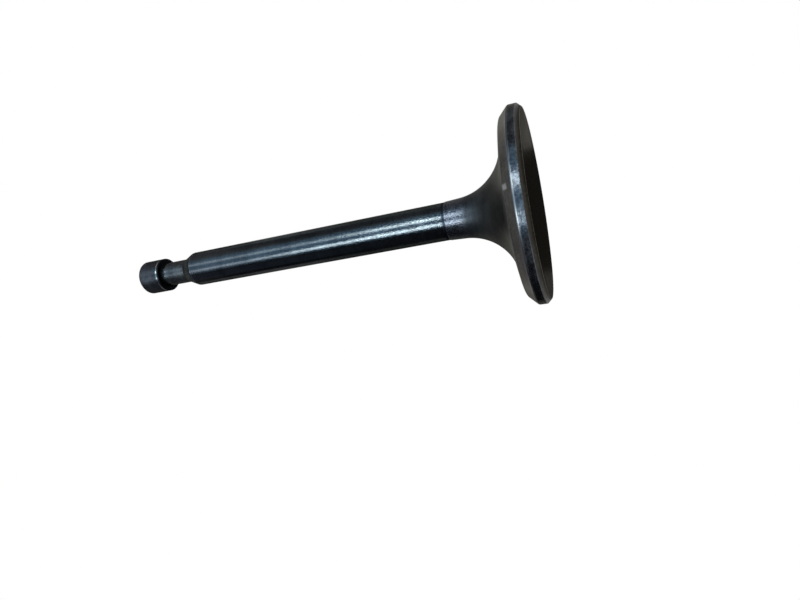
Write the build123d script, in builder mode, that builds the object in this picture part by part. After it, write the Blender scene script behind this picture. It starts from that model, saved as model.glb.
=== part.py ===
from build123d import *
from math import cos, radians, sin, tan
import os

# Engine poppet valve of the intake kind, one turned piece standing on its head.
# Millimetres. The origin is the centre of the combustion face, +Z runs up the stem.

# Driving dimensions: head
head_d = 40.0              # across the margin
margin_height = 2.5        # combustion face to the outer edge of the seat face
face_chamfer = 0.85        # 45 degree break round the combustion face
seat_angle = 45.0          # seat face against the combustion face, in degrees
seat_width = 2.5           # measured along the slope of the seat face
back_angle = 10.5          # back of the head against the combustion face, in degrees
underhead_radius = 11.0    # round between the back of the head and the neck

# Driving dimensions: neck and stem
overall_length = 97.0
stem_d = 8.0               # ground to run in the valve guide
grind_end = 18.6           # combustion face to the head end of the ground length
neck_allowance = 0.08      # how far the unground neck stands proud of the stem
neck_taper = 3.0           # flare of the neck on each side, in degrees

# Driving dimensions: keeper groove and tip
tip_length = 6.2           # end of the valve to the square wall of the groove
groove_length = 6.5        # parallel floor of the groove
groove_depth = 1.2         # below the stem, on the radius
shoulder_length = 2.6      # cone from the groove floor back out to the stem
groove_corner_radius = 0.3  # round where the floor meets the square wall
shoulder_edge_radius = 1.0  # round where the shoulder runs out into the stem
button_edge_radius = 0.15  # break on the groove side of the tip button
tip_chamfer = 0.7          # 45 degree break round the end of the tip

# Stations worked out from the sizes above, as radii and heights
head_r = head_d / 2
stem_r = stem_d / 2
seat_inner_r = head_r - seat_width * cos(radians(seat_angle))
seat_inner_z = margin_height + seat_width * sin(radians(seat_angle))
neck_top_r = stem_r + neck_allowance
neck_top_z = grind_end - neck_allowance
groove_r = stem_r - groove_depth
groove_top_z = overall_length - tip_length
groove_floor_z = groove_top_z - groove_length
shoulder_z = groove_floor_z - shoulder_length

# The back of the head and the flared neck would meet in this corner without their round:
# z = seat_inner_z + (seat_inner_r - r) * back_rise  and  r = neck_top_r + (neck_top_z - z) * flare
back_rise = tan(radians(back_angle))
flare = tan(radians(neck_taper))
underhead_z = (
    seat_inner_z + (seat_inner_r - neck_top_r - neck_top_z * flare) * back_rise
) / (1 - back_rise * flare)
underhead_r = neck_top_r + (neck_top_z - underhead_z) * flare


def turned_edge(part, radius, height):
    """The circular edge of a turned part nearest to this radius and height."""
    circles = part.edges().filter_by(GeomType.CIRCLE)
    return circles.sort_by(lambda edge: abs(edge.radius - radius) + abs(edge.arc_center.Z - height))[0]


with BuildPart() as valve:
    # Blank: disc-shaped head with margin and seat face, rounded back, flared neck, ground stem
    with BuildSketch(Plane.XZ) as blank:
        with BuildLine():
            Polyline(
                (0, 0),
                (head_r, 0),
                (head_r, margin_height),
                (seat_inner_r, seat_inner_z),
                (underhead_r, underhead_z),
                (neck_top_r, neck_top_z),
                (stem_r, grind_end),
                (stem_r, overall_length),
                (0, overall_length),
                close=True,
            )
        make_face()
        fillet(blank.vertices().sort_by_distance((underhead_r, underhead_z))[0], underhead_radius)
    revolve(axis=Axis.Z)

    # Keeper groove: square wall under the tip button, parallel floor, long conical shoulder
    with BuildSketch(Plane.XZ) as groove:
        with BuildLine():
            Polyline(
                (stem_r, shoulder_z),
                (groove_r, groove_floor_z),
                (groove_r, groove_top_z),
                (stem_r, groove_top_z),
                close=True,
            )
        make_face()
        fillet(groove.vertices().sort_by_distance((groove_r, groove_top_z))[0], groove_corner_radius)
    revolve(axis=Axis.Z, mode=Mode.SUBTRACT)

    # Edge breaks
    fillet(turned_edge(valve, stem_r, shoulder_z), shoulder_edge_radius)
    fillet(turned_edge(valve, stem_r, groove_top_z), button_edge_radius)
    chamfer(turned_edge(valve, stem_r, overall_length), tip_chamfer)
    chamfer(turned_edge(valve, head_r, 0), face_chamfer)

valve.part.label = "valve"

os.makedirs("parts", exist_ok=True)
export_step(valve.part, "parts/valve.step")
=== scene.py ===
from math import cos, pi, radians, sin, tan

import bmesh
import bpy
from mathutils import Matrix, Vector


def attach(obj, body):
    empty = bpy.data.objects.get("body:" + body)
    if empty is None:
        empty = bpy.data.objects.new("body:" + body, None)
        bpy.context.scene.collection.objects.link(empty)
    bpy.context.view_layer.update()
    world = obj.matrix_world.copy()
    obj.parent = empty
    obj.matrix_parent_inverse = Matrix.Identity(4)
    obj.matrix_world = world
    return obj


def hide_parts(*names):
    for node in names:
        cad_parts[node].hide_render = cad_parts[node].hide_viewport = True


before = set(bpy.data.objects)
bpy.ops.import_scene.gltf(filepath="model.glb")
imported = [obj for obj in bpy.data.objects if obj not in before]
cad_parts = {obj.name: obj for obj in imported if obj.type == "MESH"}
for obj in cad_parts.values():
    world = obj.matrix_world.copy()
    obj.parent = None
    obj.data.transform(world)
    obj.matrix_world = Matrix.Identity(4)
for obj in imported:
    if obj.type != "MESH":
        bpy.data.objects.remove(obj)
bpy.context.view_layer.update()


# --- Valve ---------------------------------------------------------------------------------
# One forging of dark valve steel. The head and neck are turned, the stem, the seat face and
# the tip are ground, and the keeper groove is cut with a form tool.
mm = 0.001
micron = 1e-6
head_r = 20.0 * mm
margin_z = 2.5 * mm
face_chamfer = 0.85 * mm
seat_width = 2.5 * mm
seat_angle = radians(45)
back_angle = radians(10.5)
underhead_radius = 11.0 * mm
stem_r = 4.0 * mm
grind_end = 18.6 * mm
neck_allowance = 0.08 * mm
neck_taper = radians(3)
valve_length = 97.0 * mm
tip_length = 6.2 * mm
groove_length = 6.5 * mm
groove_depth = 1.2 * mm
shoulder_length = 2.6 * mm
tip_chamfer = 0.7 * mm
groove_corner = 0.30 * mm
button_edge = 0.15 * mm

seat_r = head_r - seat_width * cos(seat_angle)
seat_z = margin_z + seat_width * sin(seat_angle)
neck_r = stem_r + neck_allowance
neck_z = grind_end - neck_allowance
groove_r = stem_r - groove_depth
wall_z = valve_length - tip_length
floor_z = wall_z - groove_length
shoulder_z = floor_z - shoulder_length
chamfer_r = head_r - face_chamfer
tip_face_r = stem_r - tip_chamfer
tip_side_z = valve_length - tip_chamfer

# The round under the head touches the back of the head and the flared neck
back_rise = tan(back_angle)
flare = tan(neck_taper)
corner_z = (seat_z + (seat_r - neck_r - neck_z * flare) * back_rise) / (1 - back_rise * flare)
corner_r = neck_r + (neck_z - corner_z) * flare
turn = pi / 2 - back_angle - neck_taper
reach = underhead_radius * tan(turn / 2)
round_start = Vector((corner_r + reach * cos(back_angle), 0, corner_z - reach * sin(back_angle)))
round_centre = round_start + underhead_radius * Vector((sin(back_angle), 0, cos(back_angle)))

valve_bm = bmesh.new()
underhead_steps = 56
turning_steps = 288
same_place = 1e-7


def outline(*stations):
    """Joins corners of the half section, given as radius and height, and returns them."""
    corners = [valve_bm.verts.new((radius, 0, height)) for radius, height in stations]
    for first, second in zip(corners, corners[1:]):
        valve_bm.edges.new((first, second))
    return corners


head_outline = outline(
    (0, 0),
    (chamfer_r, 0),
    (head_r, face_chamfer),
    (head_r, margin_z),
    (seat_r, seat_z),
    (round_start.x, round_start.z),
)
underhead = bmesh.ops.spin(
    valve_bm,
    geom=[head_outline[-1]],
    cent=round_centre,
    axis=(0, 1, 0),
    angle=turn,
    steps=underhead_steps,
    use_duplicate=False,
)
neck_start = underhead["geom_last"][0]
stem_outline = outline(
    (neck_r, neck_z),
    (stem_r, grind_end),
    (stem_r, shoulder_z),
    (groove_r, floor_z),
    (groove_r, wall_z),
    (stem_r, wall_z),
    (stem_r, tip_side_z),
    (tip_face_r, valve_length),
    (0, valve_length),
)
valve_bm.edges.new((neck_start, stem_outline[0]))
bmesh.ops.spin(
    valve_bm,
    geom=valve_bm.verts[:] + valve_bm.edges[:],
    cent=(0, 0, 0),
    axis=(0, 0, 1),
    angle=2 * pi,
    steps=turning_steps,
    use_merge=True,
    use_duplicate=False,
)
bmesh.ops.remove_doubles(valve_bm, verts=valve_bm.verts[:], dist=same_place)
bmesh.ops.recalc_face_normals(valve_bm, faces=valve_bm.faces[:])
for face in valve_bm.faces:
    face.smooth = True


def round_ring(radius, height, offset, segments):
    """Rounds the turned edge at this radius and height, and keeps the faces beside it true."""
    ring = [
        edge
        for edge in valve_bm.edges
        if all(
            abs(end.co.z - height) < micron and abs(end.co.to_2d().length - radius) < micron
            for end in edge.verts
        )
    ]
    rounded = bmesh.ops.bevel(
        valve_bm,
        geom=ring,
        offset=offset,
        offset_type="OFFSET",
        affect="EDGES",
        segments=segments,
        profile=0.5,
        material=-1,
        clamp_overlap=False,
    )
    bands = set(rounded["faces"])
    for band in bands:
        band.smooth = True
        for edge in band.edges:
            if any(beside not in bands for beside in edge.link_faces):
                edge.smooth = False


# Each turned edge, with how far its round reaches along the faces and its number of steps
for edge_r, edge_z, edge_round, edge_steps in (
    (chamfer_r, 0, 0.10 * mm, 3),
    (head_r, face_chamfer, 0.10 * mm, 3),
    (head_r, margin_z, 0.22 * mm, 4),
    (seat_r, seat_z, 0.16 * mm, 4),
    (neck_r, neck_z, 0.03 * mm, 2),
    (stem_r, grind_end, 0.03 * mm, 2),
    (stem_r, shoulder_z, 0.22 * mm, 6),
    (groove_r, floor_z, 0.10 * mm, 3),
    (groove_r, wall_z, groove_corner, 6),
    (stem_r, wall_z, button_edge, 5),
    (stem_r, tip_side_z, 0.30 * mm, 5),
    (tip_face_r, valve_length, 0.30 * mm, 5),
):
    round_ring(edge_r, edge_z, edge_round, edge_steps)


# Finishes. Turning marks, grain, and rings of painted highlight, painted shade and wear are groups that
# each finish sets its own way.
def group(name, inputs, outputs):
    """An empty node group with these float inputs, as name and value, and these outputs."""
    tree = bpy.data.node_groups.new(name, "ShaderNodeTree")
    for label, value in inputs:
        socket = tree.interface.new_socket(label, in_out="INPUT", socket_type="NodeSocketFloat")
        socket.default_value = value
    for label in outputs:
        tree.interface.new_socket(label, in_out="OUTPUT", socket_type="NodeSocketFloat")
    return tree, tree.nodes.new("NodeGroupInput"), tree.nodes.new("NodeGroupOutput")


def put(tree, kind, sockets=(), **settings):
    """Adds a node, sets its properties, and sets or links the input sockets given."""
    made = tree.nodes.new(kind)
    for key, value in settings.items():
        setattr(made, key, value)
    for socket, value in dict(sockets).items():
        if isinstance(value, bpy.types.NodeSocket):
            tree.links.new(value, made.inputs[socket])
        else:
            made.inputs[socket].default_value = value
    return made


def sum_up(tree, operation, *values):
    """One step of arithmetic on sockets or numbers."""
    return put(tree, "ShaderNodeMath", dict(enumerate(values)), operation=operation).outputs[0]


def spread(tree, value, low, high, to_low=0.0, to_high=1.0):
    """Takes a value smoothly from one range to another and holds it inside."""
    sockets = {"Value": value, "From Min": low, "From Max": high, "To Min": to_low, "To Max": to_high}
    return put(tree, "ShaderNodeMapRange", sockets, interpolation_type="SMOOTHSTEP").outputs[0]


def product(tree, first, second):
    """Two sockets or numbers multiplied."""
    return sum_up(tree, "MULTIPLY", first, second)


def round_and_up(tree):
    """Object coordinates, then the distance from the axis, the height, and x and y by themselves."""
    place = tree.nodes.new("ShaderNodeTexCoord").outputs["Object"]
    x, y, z = put(tree, "ShaderNodeSeparateXYZ", {0: place}).outputs
    radius = sum_up(tree, "SQRT", sum_up(tree, "ADD", product(tree, x, x), product(tree, y, y)))
    return place, radius, z, x, y


# Marks of the tool or the wheel, which run round the axis and wander a little
marks_tree, marks_in, marks_out = group("turning_marks", [("Spacing mm", 0.15), ("Wander", 1.0)], ["Marks"])
place, radius, height, x, y = round_and_up(marks_tree)
pitch = sum_up(marks_tree, "DIVIDE", 1000.0, marks_in.outputs["Spacing mm"])
wander = marks_in.outputs["Wander"]
along = put(
    marks_tree,
    "ShaderNodeCombineXYZ",
    {
        0: product(marks_tree, height, pitch),
        1: product(marks_tree, radius, pitch),
        2: product(marks_tree, sum_up(marks_tree, "DIVIDE", x, radius), wander),
    },
)
marks_noise = put(
    marks_tree,
    "ShaderNodeTexNoise",
    {
        "Vector": along.outputs[0],
        "W": product(marks_tree, sum_up(marks_tree, "DIVIDE", y, radius), wander),
        "Scale": 0.5,
        "Detail": 2.0,
        "Roughness": 0.5,
    },
    noise_dimensions="4D",
)
marks_tree.links.new(spread(marks_tree, marks_noise.outputs[0], 0.3, 0.7), marks_out.inputs["Marks"])

# Grain of the steel, fine and even, and the broad stains of oil and handling
grain_sizes = [("Grain mm", 0.25), ("Stain mm", 6.0)]
grain_tree, grain_in, grain_out = group("steel_grain", grain_sizes, ["Grain", "Stain"])
grain_place = grain_tree.nodes.new("ShaderNodeTexCoord").outputs["Object"]
grain_noise = put(
    grain_tree,
    "ShaderNodeTexNoise",
    {
        "Vector": grain_place,
        "Scale": sum_up(grain_tree, "DIVIDE", 1000.0, grain_in.outputs["Grain mm"]),
        "Detail": 1.0,
        "Roughness": 0.5,
    },
)
stain_noise = put(
    grain_tree,
    "ShaderNodeTexNoise",
    {
        "Vector": grain_place,
        "Scale": sum_up(grain_tree, "DIVIDE", 1000.0, grain_in.outputs["Stain mm"]),
        "Detail": 4.0,
        "Roughness": 0.6,
        "Distortion": 0.4,
    },
)
grain_tree.links.new(spread(grain_tree, grain_noise.outputs[0], 0.25, 0.75), grain_out.inputs["Grain"])
grain_tree.links.new(spread(grain_tree, stain_noise.outputs[0], 0.3, 0.7), grain_out.inputs["Stain"])

# A narrow ring round the axis with a broken border, used for painted highlights and painted shade along
# edges and corners, and for one rubbed spot. East, north and arc keep it to one side, for that rubbed spot.
# Left alone, it runs all round.
ring_sizes = [
    ("Radius mm", 20.0),
    ("Height mm", 0.0),
    ("Width mm", 0.3),
    ("Broken", 0.5),
    ("East", 0.0),
    ("North", 0.0),
    ("Arc", -2.0),
]
ring_tree, ring_in, ring_out = group("ring_band", ring_sizes, ["Band"])
place, radius, height, x, y = round_and_up(ring_tree)
off_radius, off_height = (
    sum_up(ring_tree, "MULTIPLY_ADD", value, 1000.0, product(ring_tree, ring_in.outputs[label], -1.0))
    for value, label in ((radius, "Radius mm"), (height, "Height mm"))
)
height_square = product(ring_tree, off_height, off_height)
away = sum_up(ring_tree, "SQRT", sum_up(ring_tree, "MULTIPLY_ADD", off_radius, off_radius, height_square))
border_noise = put(
    ring_tree,
    "ShaderNodeTexNoise",
    {"Vector": place, "Scale": 900.0, "Detail": 3.0, "Roughness": 0.6},
)
border_shift = sum_up(ring_tree, "SUBTRACT", border_noise.outputs[0], 0.5)
ragged = product(ring_tree, border_shift, ring_in.outputs["Broken"])
near = sum_up(
    ring_tree,
    "SUBTRACT",
    sum_up(ring_tree, "ADD", 1.0, ragged),
    sum_up(ring_tree, "DIVIDE", away, ring_in.outputs["Width mm"]),
)
facing = sum_up(
    ring_tree,
    "MULTIPLY_ADD",
    sum_up(ring_tree, "DIVIDE", x, radius),
    ring_in.outputs["East"],
    product(ring_tree, sum_up(ring_tree, "DIVIDE", y, radius), ring_in.outputs["North"]),
)
arc_room = sum_up(ring_tree, "SUBTRACT", 1.0, ring_in.outputs["Arc"])
arc_edge = sum_up(ring_tree, "MINIMUM", 0.015, product(ring_tree, 0.9, arc_room))
inside = spread(
    ring_tree,
    sum_up(ring_tree, "SUBTRACT", facing, ring_in.outputs["Arc"]),
    product(ring_tree, arc_edge, -1.0),
    arc_edge,
)
ring_tree.links.new(product(ring_tree, spread(ring_tree, near, 0.0, 0.6), inside), ring_out.inputs["Band"])


def finish_steel(name, along, stations, marks, grain, stain, bands=(), anisotropy=0.0, rim=0.5, fade=None):
    """A steel finish. The stations are places in mm, with the colour and roughness there, along
    the height or the radius. Marks and grain have a size in mm, a depth in microns and a share of
    the tone, stain a size and a share. Each band is a ring with its radius, height and width in mm,
    how broken its border is, its colour and roughness, and for a spot its bearing and half its arc
    in degrees. Rim is the tint at grazing angles, and fade gives two heights in mm with the share
    of the grain that is left at each."""
    finish = bpy.data.materials.new(name)
    finish.use_nodes = True
    tree = finish.node_tree
    steel = tree.nodes["Principled BSDF"]
    steel.inputs["Metallic"].default_value = 1.0
    steel.inputs["Specular Tint"].default_value = (rim, rim, rim, 1)
    steel.inputs["Anisotropic"].default_value = anisotropy
    steel.inputs["Anisotropic Rotation"].default_value = 0.25
    marks_node = put(tree, "ShaderNodeGroup", node_tree=marks_tree)
    marks_node.inputs["Spacing mm"].default_value = marks[0]
    grain_node = put(tree, "ShaderNodeGroup", node_tree=grain_tree)
    grain_node.inputs["Grain mm"].default_value = grain[0]
    grain_node.inputs["Stain mm"].default_value = stain[0]
    marked = marks_node.outputs["Marks"]
    grained = grain_node.outputs["Grain"]
    stained = grain_node.outputs["Stain"]

    radius, height = round_and_up(tree)[1:3]
    first, last = stations[0][0], stations[-1][0]
    way = put(
        tree,
        "ShaderNodeMapRange",
        {
            "Value": height if along == "height" else radius,
            "From Min": first * mm,
            "From Max": last * mm,
        },
    )
    ramp = put(tree, "ShaderNodeValToRGB", {"Fac": way.outputs[0]})
    stops = ramp.color_ramp.elements
    while len(stops) < len(stations):
        stops.new(0.5)
    for stop, (at, colour, rough) in zip(stops, stations):
        stop.position = (at - first) / (last - first)
    for stop, (at, colour, rough) in zip(stops, stations):
        stop.color = (*colour, rough)

    if fade:
        (fade_from, share_from), (fade_to, share_to) = fade
        left = spread(tree, height, fade_from * mm, fade_to * mm, share_from, share_to)
        grained = sum_up(tree, "MULTIPLY_ADD", sum_up(tree, "SUBTRACT", grained, 0.5), left, 0.5)
    tone = 1.0
    for value, share in ((marked, marks[2]), (grained, grain[2]), (stained, stain[1])):
        tone = sum_up(tree, "MULTIPLY_ADD", sum_up(tree, "SUBTRACT", value, 0.5), share, tone)
    paint = put(
        tree,
        "ShaderNodeMix",
        {"Factor": 1.0, "A": ramp.outputs["Color"], "B": tone},
        data_type="RGBA",
        blend_type="MULTIPLY",
    ).outputs["Result"]
    uneven = spread(tree, sum_up(tree, "ADD", grained, stained), 0.0, 2.0, 0.85, 1.15)
    roughness = product(tree, ramp.outputs["Alpha"], uneven)
    for radius_mm, height_mm, width_mm, broken, colour, rough, *spot in bands:
        band = put(tree, "ShaderNodeGroup", node_tree=ring_tree)
        band.inputs["Radius mm"].default_value = radius_mm
        band.inputs["Height mm"].default_value = height_mm
        band.inputs["Width mm"].default_value = width_mm
        band.inputs["Broken"].default_value = broken
        if spot:
            bearing, half_arc = spot
            band.inputs["East"].default_value = sin(radians(bearing))
            band.inputs["North"].default_value = -cos(radians(bearing))
            band.inputs["Arc"].default_value = cos(radians(half_arc))
        cover = band.outputs["Band"]
        painted = {"Factor": cover, "A": paint, "B": (*colour, 1)}
        paint = put(tree, "ShaderNodeMix", painted, data_type="RGBA").outputs["Result"]
        roughened = {"Factor": cover, "A": roughness, "B": rough}
        roughness = put(tree, "ShaderNodeMix", roughened).outputs["Result"]
    tree.links.new(paint, steel.inputs["Base Color"])
    tree.links.new(roughness, steel.inputs["Roughness"])
    mark_depth = {"Height": marked, "Distance": marks[1] * micron, "Strength": 1.0}
    scored = put(tree, "ShaderNodeBump", mark_depth).outputs[0]
    grain_depth = {"Height": grained, "Distance": grain[1] * micron, "Strength": 1.0, "Normal": scored}
    pitted = put(tree, "ShaderNodeBump", grain_depth).outputs[0]
    tree.links.new(pitted, steel.inputs["Normal"])
    return finish


combustion_face = finish_steel(
    "combustion_face",
    "radius",
    [
        (0.0, (0.030, 0.026, 0.018), 0.27),
        (15.0, (0.030, 0.026, 0.018), 0.27),
        (19.2, (0.032, 0.030, 0.024), 0.30),
    ],
    marks=(0.3, 1.0, 0.15),
    grain=(0.5, 2.0, 0.3),
    stain=(6.0, 0.5),
    rim=0.3,
)
face_edge = finish_steel(
    "face_edge",
    "height",
    [(0.0, (0.070, 0.065, 0.052), 0.42), (0.85, (0.072, 0.068, 0.060), 0.40)],
    marks=(0.3, 1.0, 0.15),
    grain=(0.35, 3.0, 0.4),
    stain=(6.0, 0.4),
    rim=0.95,
)
ground_margin = finish_steel(
    "ground_margin",
    "height",
    [
        (0.85, (0.100, 0.112, 0.128), 0.26),
        (1.25, (0.092, 0.105, 0.122), 0.22),
        (1.7, (0.080, 0.092, 0.110), 0.19),
        (2.1, (0.095, 0.107, 0.127), 0.23),
        # Lighter at the top edge: part of the painted highlight along the corner
        (2.5, (0.140, 0.154, 0.172), 0.31),
    ],
    marks=(0.45, 1.0, 0.5),
    grain=(0.45, 6.0, 0.5),
    stain=(2.2, 0.6),
    anisotropy=0.4,
    # Painted highlight: a lighter ring along the margin's top edge, for the glint where the corner catches
    # the lamps
    bands=[(20.0, 2.45, 0.35, 0.9, (0.20, 0.215, 0.23), 0.32)],
)
ground_seat = finish_steel(
    "ground_seat",
    "height",
    [(2.5, (0.22, 0.21, 0.195), 0.34), (4.27, (0.20, 0.19, 0.175), 0.38)],
    marks=(0.25, 0.8, 0.2),
    grain=(0.35, 2.0, 0.35),
    stain=(5.0, 0.3),
    rim=0.95,
    bands=[
        # Painted highlights: a lighter ring on each edge of the seat, for the glints along its corners
        (20.0, 2.5, 0.4, 0.6, (0.28, 0.29, 0.31), 0.28),
        (18.23, 4.27, 0.3, 0.7, (0.36, 0.355, 0.34), 0.32),
        (18.68, 3.82, 0.85, 1.3, (0.95, 0.95, 0.91), 0.32, 12.2, 1.5),
    ],
)
turned_back = finish_steel(
    "turned_back",
    "height",
    [
        # Darkest in the round under the head, lighter towards the seat and on the upper neck: painted
        # reflections and painted shade
        (4.27, (0.160, 0.155, 0.138), 0.42),
        (4.8, (0.130, 0.127, 0.114), 0.42),
        (6.0, (0.115, 0.112, 0.10), 0.42),
        (8.5, (0.064, 0.066, 0.065), 0.44),
        (13.8, (0.055, 0.063, 0.072), 0.42),
        (15.4, (0.105, 0.116, 0.140), 0.31),
        (18.5, (0.112, 0.124, 0.150), 0.27),
        (18.6, (0.15, 0.16, 0.18), 0.30),
    ],
    marks=(0.5, 1.2, 0.2),
    grain=(0.27, 15.0, 0.9),
    fade=((11.5, 0.2), (16.0, 1.0)),
    stain=(6.0, 0.35),
    rim=0.8,
    # A lighter ring where the back meets the seat: a painted reflection
    bands=[(18.23, 4.27, 0.7, 0.5, (0.24, 0.235, 0.215), 0.40)],
)
ground_stem = finish_steel(
    "ground_stem",
    "height",
    [
        (18.6, (0.090, 0.105, 0.116), 0.11),
        (40.0, (0.086, 0.101, 0.113), 0.14),
        (81.7, (0.083, 0.089, 0.100), 0.22),
    ],
    marks=(0.25, 0.4, 0.15),
    grain=(0.22, 12.0, 1.0),
    fade=((18.6, 1.0), (81.7, 0.35)),
    stain=(5.0, 0.4),
    bands=[
        # Painted shade: a dark line where the grinding ends, for the shade at the small step there
        (4.0, 18.6, 0.75, 0.4, (0.025, 0.032, 0.048), 0.35),
        # Painted highlight: a bright thin ring on the edge of the shoulder
        (4.0, 81.6, 0.16, 0.9, (0.26, 0.28, 0.31), 0.25),
    ],
    anisotropy=0.5,
    rim=0.46,
)
cut_groove = finish_steel(
    "cut_groove",
    "height",
    [
        (81.7, (0.138, 0.146, 0.143), 0.38),
        (83.6, (0.155, 0.164, 0.162), 0.38),
        (84.4, (0.106, 0.112, 0.116), 0.36),
        (88.6, (0.082, 0.090, 0.099), 0.34),
        # Painted highlight on the floor just short of the wall, then darker into the corner: painted shade
        (89.7, (0.160, 0.175, 0.185), 0.25),
        (90.2, (0.112, 0.122, 0.130), 0.24),
        (90.8, (0.075, 0.082, 0.088), 0.30),
    ],
    marks=(0.3, 1.0, 0.3),
    grain=(0.35, 3.0, 0.4),
    stain=(2.5, 0.4),
    bands=[
        # Painted shade: near black on the wall under the tip and in the corner beside it
        (3.5, 91.0, 1.0, 0.3, (0.004, 0.005, 0.006), 0.5),
        (2.8, 90.8, 0.70, 0.3, (0.004, 0.005, 0.006), 0.5),
    ],
)
ground_tip = finish_steel(
    "ground_tip",
    "height",
    [
        # Near black next to the wall, then lighter: painted shade on the rounded edge under the tip
        (90.8, (0.012, 0.013, 0.016), 0.34),
        (91.08, (0.02, 0.022, 0.026), 0.32),
        (91.3, (0.078, 0.087, 0.10), 0.26),
        (92.0, (0.073, 0.077, 0.090), 0.36),
        (96.3, (0.082, 0.086, 0.098), 0.40),
    ],
    marks=(0.25, 0.6, 0.15),
    grain=(0.3, 3.5, 0.4),
    stain=(3.0, 0.35),
    # Painted highlight: a bright ring round the tip just above its lower edge, for the glint on the rim
    bands=[(4.0, 91.35, 0.25, 0.7, (0.34, 0.355, 0.355), 0.13)],
    rim=0.42,
)

# Each face takes the first finish that its middle lies within
beside = 0.01 * mm
finishes = [
    combustion_face,
    face_edge,
    ground_margin,
    ground_seat,
    turned_back,
    ground_stem,
    cut_groove,
    ground_tip,
]
for face in valve_bm.faces:
    middle = face.calc_center_median()
    z, r = middle.z, middle.to_2d().length
    if z < beside:
        finish = combustion_face
    elif z < face_chamfer:
        finish = face_edge
    elif z < margin_z and r > seat_r:
        finish = ground_margin
    elif r > seat_r and z < seat_z:
        finish = ground_seat
    elif z < grind_end:
        finish = turned_back
    elif z < shoulder_z:
        finish = ground_stem
    elif z < wall_z + beside and r < stem_r - button_edge - beside:
        finish = cut_groove
    else:
        finish = ground_tip
    face.material_index = finishes.index(finish)

valve_mesh = bpy.data.meshes.new("turned_valve")
valve_bm.to_mesh(valve_mesh)
valve_bm.free()
for finish in finishes:
    valve_mesh.materials.append(finish)
turned_valve = bpy.data.objects.new("turned_valve", valve_mesh)
bpy.context.scene.collection.objects.link(turned_valve)
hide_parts("valve")
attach(turned_valve, "root")


# --- Floor -------------------------------------------------------------------------------
# A round pale matt board that the valve stands on. It can be looked through from underneath,
# and has a hole just inside the rim of the head.
board_r = 1.6
hole_r = 19.2 * mm
board_segments = 96
floor_bm = bmesh.new()
bmesh.ops.create_circle(floor_bm, segments=board_segments, radius=board_r, cap_ends=False)
bmesh.ops.create_circle(floor_bm, segments=board_segments, radius=hole_r, cap_ends=False)
bmesh.ops.bridge_loops(floor_bm, edges=floor_bm.edges[:])
bmesh.ops.recalc_face_normals(floor_bm, faces=floor_bm.faces[:])
if floor_bm.faces[:][0].normal.z < 0:
    bmesh.ops.reverse_faces(floor_bm, faces=floor_bm.faces[:])
floor_mesh = bpy.data.meshes.new("board")
floor_bm.to_mesh(floor_mesh)
floor_bm.free()
board = bpy.data.objects.new("board", floor_mesh)
bpy.context.scene.collection.objects.link(board)
pale_board = bpy.data.materials.new("pale_board")
pale_board.use_nodes = True
tree = pale_board.node_tree
matt = tree.nodes["Principled BSDF"]
matt.inputs["Base Color"].default_value = (0.70, 0.70, 0.695, 1)
matt.inputs["Roughness"].default_value = 0.9
matt.inputs["Specular IOR Level"].default_value = 0.0
under = product(
    tree,
    tree.nodes.new("ShaderNodeNewGeometry").outputs["Backfacing"],
    tree.nodes.new("ShaderNodeLightPath").outputs["Is Camera Ray"],
)
clear = tree.nodes.new("ShaderNodeBsdfTransparent")
see_through = put(tree, "ShaderNodeMixShader", {0: under, 1: matt.outputs[0], 2: clear.outputs[0]})
tree.links.new(see_through.outputs[0], tree.nodes["Material Output"].inputs["Surface"])
floor_mesh.materials.append(pale_board)


# --- Light -------------------------------------------------------------------------------
# Two tall strip lamps stand in front, dimmer towards the top, each with a short lamp above it for
# the tip. A wide blue softbox and grey and black cards round them are seen by reflections only.
# A soft lamp overhead lights the board, which the strips leave alone.
def lamp(name, bearing, low, high, width, radiance):
    """An upright lamp facing the axis. The bearing is from the front towards +X, in degrees."""
    light = bpy.data.lights.new(name, "AREA")
    light.color = (0.95, 1.0, 0.97)
    light.shape = "RECTANGLE"
    light.size = width
    light.size_y = high - low
    light.energy = radiance * pi * width * (high - low)
    angle = radians(bearing)
    holder = bpy.data.objects.new(name, light)
    bpy.context.scene.collection.objects.link(holder)
    holder.location = (lamp_distance * sin(angle), -lamp_distance * cos(angle), (low + high) / 2)
    holder.rotation_euler = (pi / 2, 0, angle)
    holder.visible_camera = False
    holder.visible_diffuse = False


lamp_distance = 0.30
right_bearing, right_width = 29.9, 0.067
left_bearing, left_width = -10.1, 0.061
tip_low, tip_high = 0.336, 0.356
lamp("strip_right", right_bearing, 0.02, 0.145, right_width, 9.9)
lamp("strip_right_top", right_bearing, 0.145, 0.30, right_width, 1.5)
lamp("strip_right_tip", 33, tip_low, tip_high, 0.088, 5.0)
lamp("strip_left_tip", left_bearing, tip_low, tip_high, left_width, 3.0)
lamp("strip_left", left_bearing, 0.045, 0.180, left_width, 11.8)
lamp("strip_left_mid", left_bearing, 0.180, 0.215, left_width, 5.8)
lamp("strip_left_top", left_bearing, 0.215, 0.33, left_width, 1.5)

overhead = bpy.data.lights.new("overhead", "AREA")
overhead.size = 0.35
overhead.energy = 4.5
overhead_holder = bpy.data.objects.new("overhead", overhead)
bpy.context.scene.collection.objects.link(overhead_holder)
overhead_holder.location = (-0.45, -0.55, 1.0)
overhead_holder.rotation_euler = Vector(overhead_holder.location).to_track_quat("Z", "Y").to_euler()
overhead_holder.visible_camera = False
overhead_holder.visible_glossy = False


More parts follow.
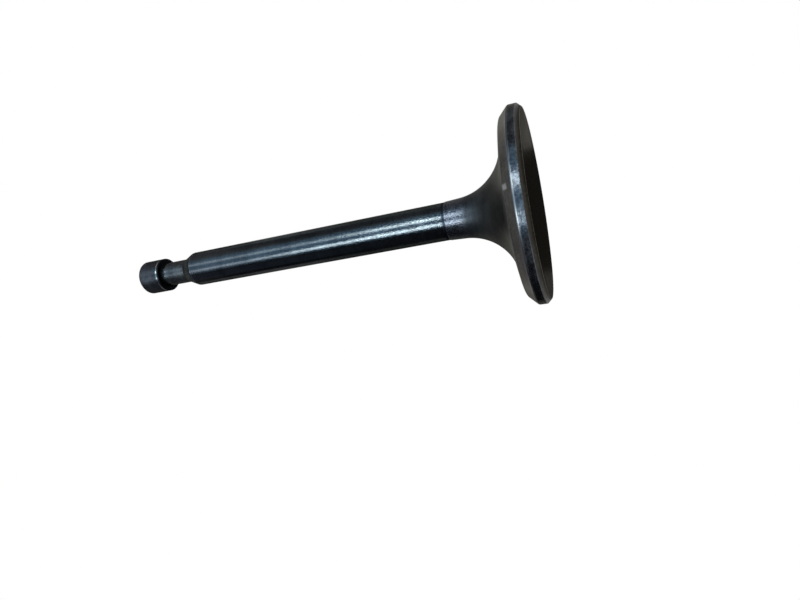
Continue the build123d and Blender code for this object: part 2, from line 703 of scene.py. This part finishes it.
def card(name, edge_ends, turn_by, grey, soft=None):
    """A card that only reflections see, swept round the axis from its upright or flat edge. Soft
    gives the bearings where it starts to show, shows in full, starts to fade and is gone."""
    paint = bpy.data.materials.new(name)
    paint.use_nodes = True
    paint.node_tree.nodes.clear()
    glow = put(paint.node_tree, "ShaderNodeEmission", {"Color": (*grey, 1), "Strength": 1.0})
    shown = glow.outputs[0]
    if soft:
        tree = paint.node_tree
        place = tree.nodes.new("ShaderNodeTexCoord").outputs["Object"]
        axes = put(tree, "ShaderNodeSeparateXYZ", {0: place})
        bearing = sum_up(tree, "ARCTAN2", axes.outputs["X"], product(tree, axes.outputs["Y"], -1.0))
        rise = spread(tree, bearing, radians(soft[0]), radians(soft[1]))
        fall = spread(tree, bearing, radians(soft[2]), radians(soft[3]), 1.0, 0.0)
        clear = tree.nodes.new("ShaderNodeBsdfTransparent")
        cover = product(tree, rise, fall)
        shown = put(tree, "ShaderNodeMixShader", {0: cover, 1: clear.outputs[0], 2: shown}).outputs[0]
    put(paint.node_tree, "ShaderNodeOutputMaterial", {"Surface": shown})
    card_bm = bmesh.new()
    first, second = (card_bm.verts.new(corner) for corner in edge_ends)
    edge = card_bm.edges.new((first, second))
    bmesh.ops.spin(
        card_bm,
        geom=[first, second, edge],
        cent=(0, 0, 0),
        axis=(0, 0, 1),
        angle=radians(turn_by),
        steps=24,
        use_duplicate=False,
    )
    card_mesh = bpy.data.meshes.new(name)
    card_bm.to_mesh(card_mesh)
    card_bm.free()
    card_mesh.materials.append(paint)
    standing = bpy.data.objects.new(name, card_mesh)
    bpy.context.scene.collection.objects.link(standing)
    standing.visible_camera = False
    standing.visible_diffuse = False
    standing.visible_shadow = False


def upright(bearing, distance, low, high):
    """The upright edge that a standing card starts from, with its lower and upper height."""
    angle = radians(bearing)
    return [(distance * sin(angle), -distance * cos(angle), z) for z in (low, high)]


def level(bearing, inner, outer, height):
    """The flat edge that a level card starts from, with its inner and outer radius."""
    angle = radians(bearing)
    return [(r * sin(angle), -r * cos(angle), height) for r in (inner, outer)]


card("softbox_blue", upright(-36, 0.45, 0.0, 0.50), 122, (0.44, 0.70, 0.94), soft=(-36, -12, 42, 75))
card("card_front", upright(-24, 0.70, -0.3, 0.8), 88, (0.016, 0.021, 0.028))
card("card_left", upright(-110, 0.70, -0.3, 0.8), 86, (0.03, 0.03, 0.035))
card("card_left_high", upright(-84, 0.69, 0.32, 0.8), 42, (0.075, 0.09, 0.115))
card("card_left_top", upright(-116, 0.69, 0.62, 0.8), 36, (0.24, 0.23, 0.21))
card("card_front_right", upright(46, 0.69, -0.3, 0.8), 20, (0.19, 0.17, 0.08))
card("card_right", upright(64, 0.70, -0.3, 0.8), 46, (0.13, 0.13, 0.14))
card("card_back_left", upright(-180, 0.70, -0.3, 0.38), 70, (0.17, 0.165, 0.15))
card("card_back_right", upright(110, 0.70, -0.3, 0.38), 70, (0.32, 0.31, 0.28))
card("card_back_middle", upright(186, 0.69, 0.10, 0.42), -38, (0.29, 0.285, 0.265))
card("card_high_left", upright(-180, 0.70, 0.38, 0.50), 70, (0.46, 0.45, 0.42))
card("card_high_left_back", upright(-180, 0.69, 0.49, 0.66), 28, (0.34, 0.34, 0.32))
card("card_high_left_side", upright(-136, 0.69, 0.49, 0.66), 26, (0.42, 0.42, 0.39))
card("card_top_left", upright(-180, 0.70, 0.50, 0.8), 70, (0.10, 0.10, 0.09))
card("card_high_right", upright(110, 0.70, 0.38, 0.50), 70, (0.62, 0.62, 0.59))
card("card_high_right_back", upright(152, 0.69, 0.49, 0.66), 28, (0.50, 0.50, 0.48))
card("card_high_right_side", upright(110, 0.69, 0.49, 0.64), 16, (0.42, 0.42, 0.41))
card("card_top_right", upright(110, 0.70, 0.50, 0.8), 70, (0.20, 0.20, 0.19))
card("card_right_top", upright(64, 0.69, 0.55, 0.8), 48, (0.38, 0.38, 0.37))
card("card_low_left", upright(-138, 0.69, -0.3, 0.11), 30, (0.025, 0.025, 0.022))
card("card_roof", [(0, 0, 0.8), (0, -0.70, 0.8)], 360, (0.20, 0.20, 0.21))
card("card_roof_back", level(145, 0.30, 0.70, 0.79), 70, (0.05, 0.05, 0.052))
card("card_roof_front", level(-80, 0.15, 0.70, 0.79), 160, (0.12, 0.12, 0.125))
card("card_low_right", upright(42, 0.44, 0.02, 0.09), 30, (0.60, 0.86, 1.04), soft=(44, 50, 62, 70))
card("card_board_left", level(-143, 0.022, 0.69, 0.0006), 93, (0.015, 0.016, 0.018))
card("card_under", upright(172.3, 0.25, -1.2, -0.0005), 17.3, (0.030, 0.029, 0.025))

world = bpy.data.worlds.new("white_surroundings")
bpy.context.scene.world = world
world.use_nodes = True
tree = world.node_tree
tree.nodes["Background"].inputs["Color"].default_value = (1, 1, 1, 1)
tree.nodes["Background"].inputs["Strength"].default_value = 1.0


# --- Camera ------------------------------------------------------------------------------
# Low and close beside the head, turned so that the stem lies across the frame.
camera = bpy.data.objects.new("camera", bpy.data.cameras.new("camera"))
bpy.context.scene.collection.objects.link(camera)
camera.location = (0, -0.121825, -0.008661)
camera.rotation_euler = (radians(-155.9653), radians(69.6775), radians(122.4463))
camera.data.sensor_width = 36
camera.data.lens = 26.4283
camera.data.clip_start = 0.005
camera.data.clip_end = 20
bpy.context.scene.camera = camera

bpy.context.scene.view_settings.view_transform = "Standard"
